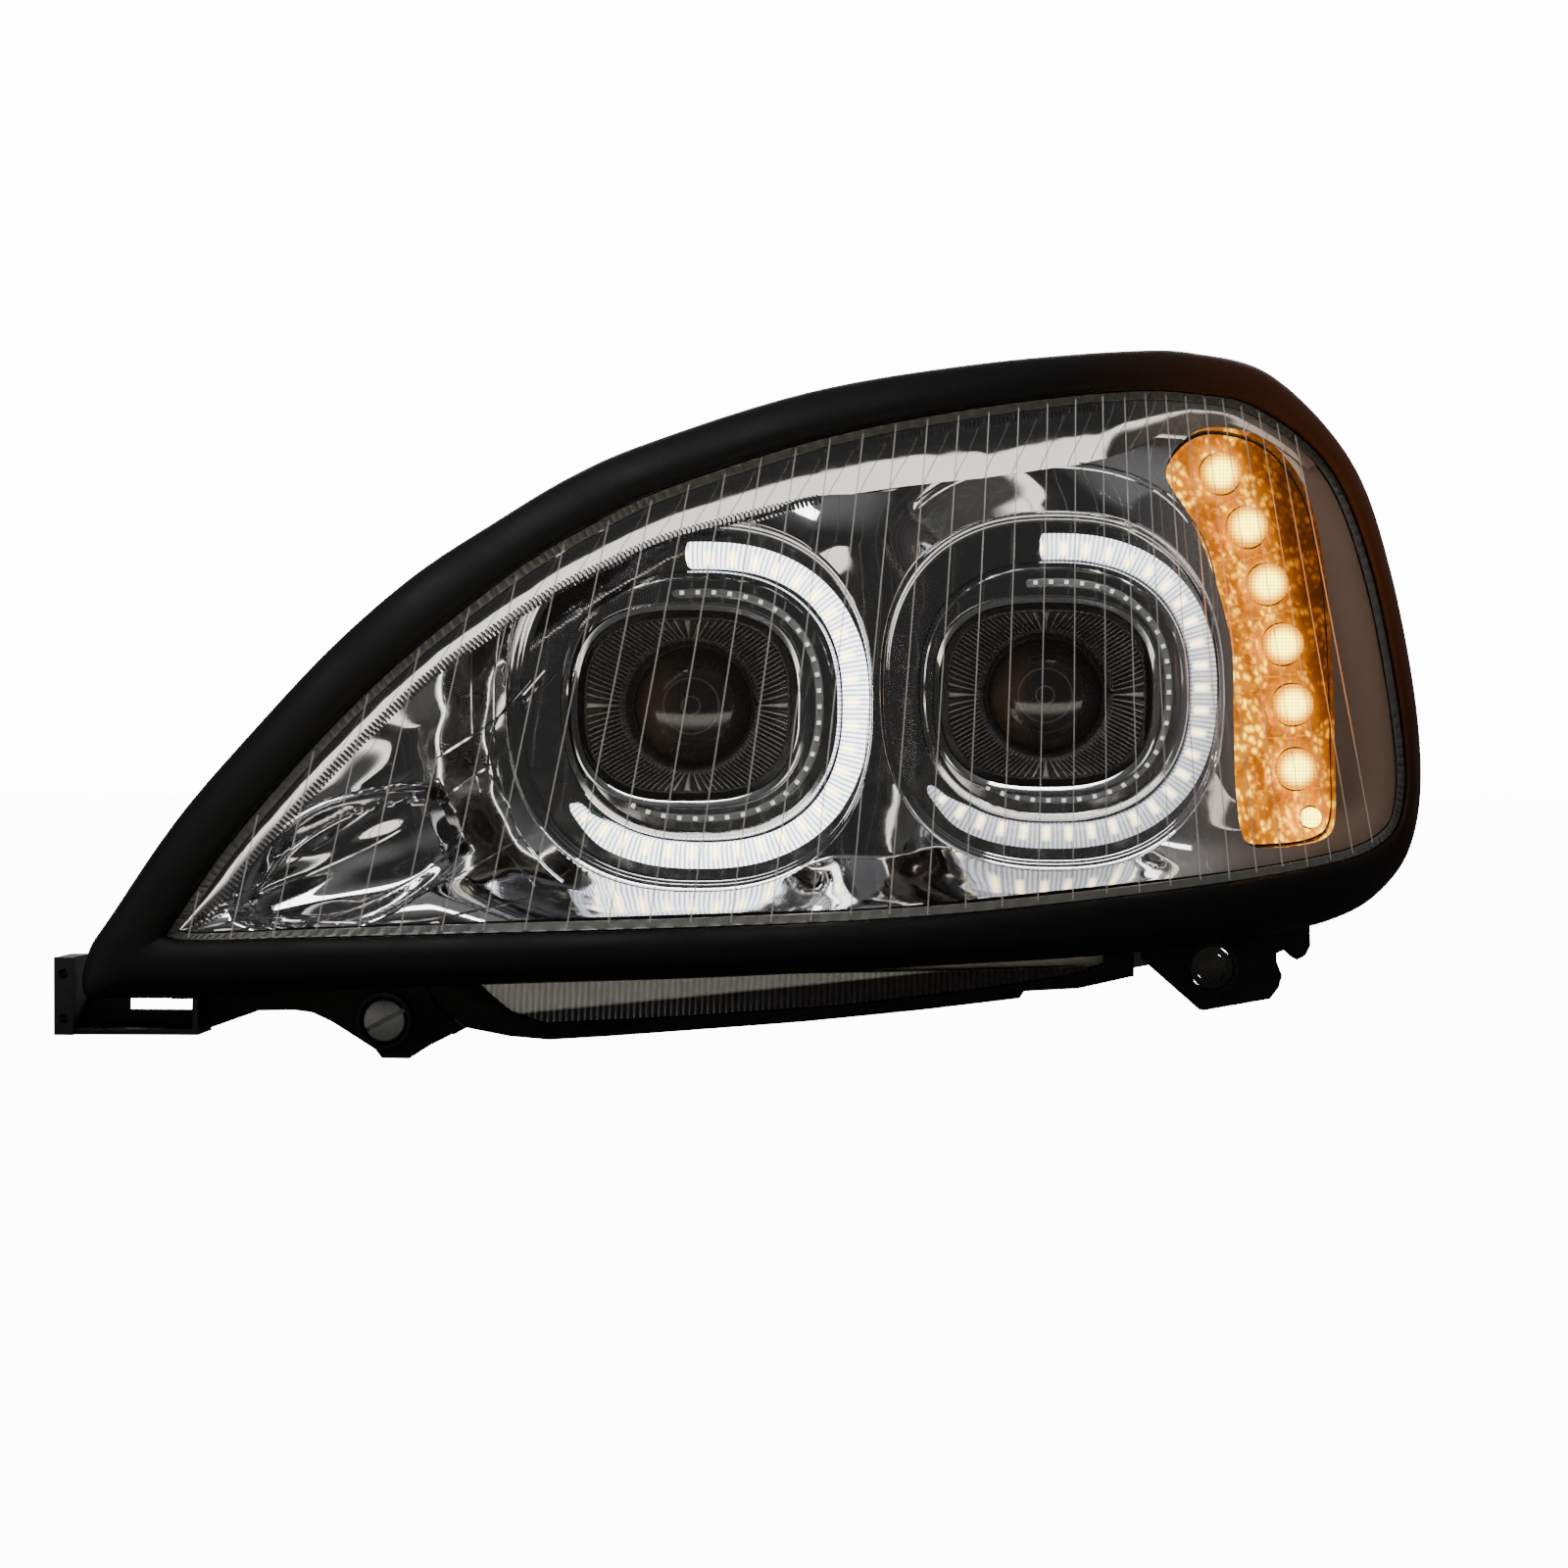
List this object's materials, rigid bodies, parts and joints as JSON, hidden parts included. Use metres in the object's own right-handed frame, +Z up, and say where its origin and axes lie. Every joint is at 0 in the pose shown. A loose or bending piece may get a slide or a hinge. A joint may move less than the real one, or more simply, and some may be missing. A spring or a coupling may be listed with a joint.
{
  "type": "car headlight assembly",
  "caption": "Left-hand swept-back truck headlamp with round projectors, C-shaped light guides and an amber turn signal in a sealed housing.",
  "frame": {"origin": "centre of the rear face of the inner end pad, where the lamp is screwed to the vehicle", "axes": "+X along the lamp to its rounded outer end, +Y back into the vehicle, away from the lens, +Z up"},
  "size_m": [0.7405, 0.4113, 0.3927],
  "materials": {
    "black_plastic": "moulded black plastic, fine grain",
    "black_rubber": "matte black rubber",
    "clear_plastic": "clear moulded polycarbonate with flutes",
    "chrome": "moulded plastic with a bright vacuum-metallised face",
    "smoked_chrome": "fluted plastic with a smoked metallised face",
    "white_guide": "milky light guide",
    "lit_guide": "milky light guide, lit",
    "amber_plastic": "amber moulded optics, lit",
    "white_reflector": "white moulded plastic",
    "circuit_board": "green circuit board",
    "steel": "zinc plated steel",
    "aluminium": "die-cast aluminium",
    "glass": "clear glass",
    "gold_contact": "plated contacts"
  },
  "bodies": {
    "housing_unit": {"housing": "black_plastic", "perimeter_frame": "black_rubber", "outer_lens": "clear_plastic", "lens_seal": "black_rubber", "trim_ring": "chrome", "main_bezel": "chrome", "signal_optics": "amber_plastic", "signal_reflector": "chrome", "signal_board": "circuit_board", "signal_window": "clear_plastic", "lower_tray": "black_plastic", "lower_window": "clear_plastic", "lower_reflector": "white_reflector", "inner_bracket": "black_plastic", "outer_bracket": "black_plastic", "mount_sleeve": "steel", "pivot_post": "black_plastic", "tilt_seal": "black_rubber", "turn_seal": "black_rubber", "connector_socket": "black_plastic", "connector_pins": "gold_contact", "breather": "black_rubber", "led_driver": "aluminium", "cup_inner": "chrome", "drl_guide_inner": "lit_guide", "drl_board_inner": "circuit_board", "halo_ring_inner": "white_guide", "cup_outer": "chrome", "drl_guide_outer": "lit_guide", "drl_board_outer": "circuit_board", "halo_ring_outer": "white_guide"},
    "pivot_joint": {"pivot_ball": "steel"},
    "projector_unit": {"carrier": "steel", "tilt_nut": "white_reflector", "turn_nut": "white_reflector", "cutoff_shield": "steel", "shroud_inner": "smoked_chrome", "projector_lens_inner": "glass", "lens_ring_inner": "steel", "lens_holder_inner": "aluminium", "reflector_bowl_inner": "chrome", "bulb_inner": "glass", "bulb_base_inner": "steel", "shroud_outer": "smoked_chrome", "projector_lens_outer": "glass", "lens_ring_outer": "steel", "lens_holder_outer": "aluminium", "reflector_bowl_outer": "chrome", "bulb_outer": "glass", "bulb_base_outer": "steel"},
    "tilt_adjuster": {"tilt_screw": "aluminium"},
    "turn_adjuster": {"turn_screw": "white_reflector"},
    "cap_inner": {"service_cap_inner": "black_rubber", "cap_seal_inner": "white_reflector"},
    "clip_inner": {"bulb_clip_inner": "steel"},
    "cap_outer": {"service_cap_outer": "black_rubber", "cap_seal_outer": "white_reflector"},
    "clip_outer": {"bulb_clip_outer": "steel"}
  },
  "joints": [
    {"name": "vertical_aim", "type": "hinge", "parent": "housing_unit", "child": "pivot_joint", "pos_m": [0.159, 0.165, 0.1], "axis": [1, 0, 0], "range_deg": [-2.5, 2.5]},
    {"name": "horizontal_aim", "type": "hinge", "parent": "pivot_joint", "child": "projector_unit", "pos_m": [0.159, 0.165, 0.1], "axis": [0, 0, 1], "range_deg": [-1.7, 1.7]},
    {"name": "tilt_screw_turn", "type": "hinge", "parent": "housing_unit", "child": "tilt_adjuster", "pos_m": [0.159, 0.01, -0.015], "axis": [0, 1, 0], "range_deg": [-1210, 1210]},
    {"name": "turn_screw_turn", "type": "hinge", "parent": "housing_unit", "child": "turn_adjuster", "pos_m": [0.402, 0.29, 0.1], "axis": [0, 1, 0], "range_deg": [-1740, 1740]},
    {"name": "cap_inner_pull", "type": "slide", "parent": "housing_unit", "child": "cap_inner", "axis": [0, 1, 0], "range_m": [0, 0.05]},
    {"name": "clip_inner_swing", "type": "hinge", "parent": "projector_unit", "child": "clip_inner", "pos_m": [0.309, 0.2377, 0.17], "axis": [1, 0, 0], "range_deg": [0, 70]},
    {"name": "cap_outer_pull", "type": "slide", "parent": "housing_unit", "child": "cap_outer", "axis": [0, 1, 0], "range_m": [0, 0.05]},
    {"name": "clip_outer_swing", "type": "hinge", "parent": "projector_unit", "child": "clip_outer", "pos_m": [0.508, 0.3157, 0.177], "axis": [1, 0, 0], "range_deg": [0, 70]}
  ],
  "couplings": [
    {"joint": "tilt_screw_turn", "follows": "vertical_aim", "ratio": 481.7},
    {"joint": "turn_screw_turn", "follows": "horizontal_aim", "ratio": 1017.9}
  ]
}
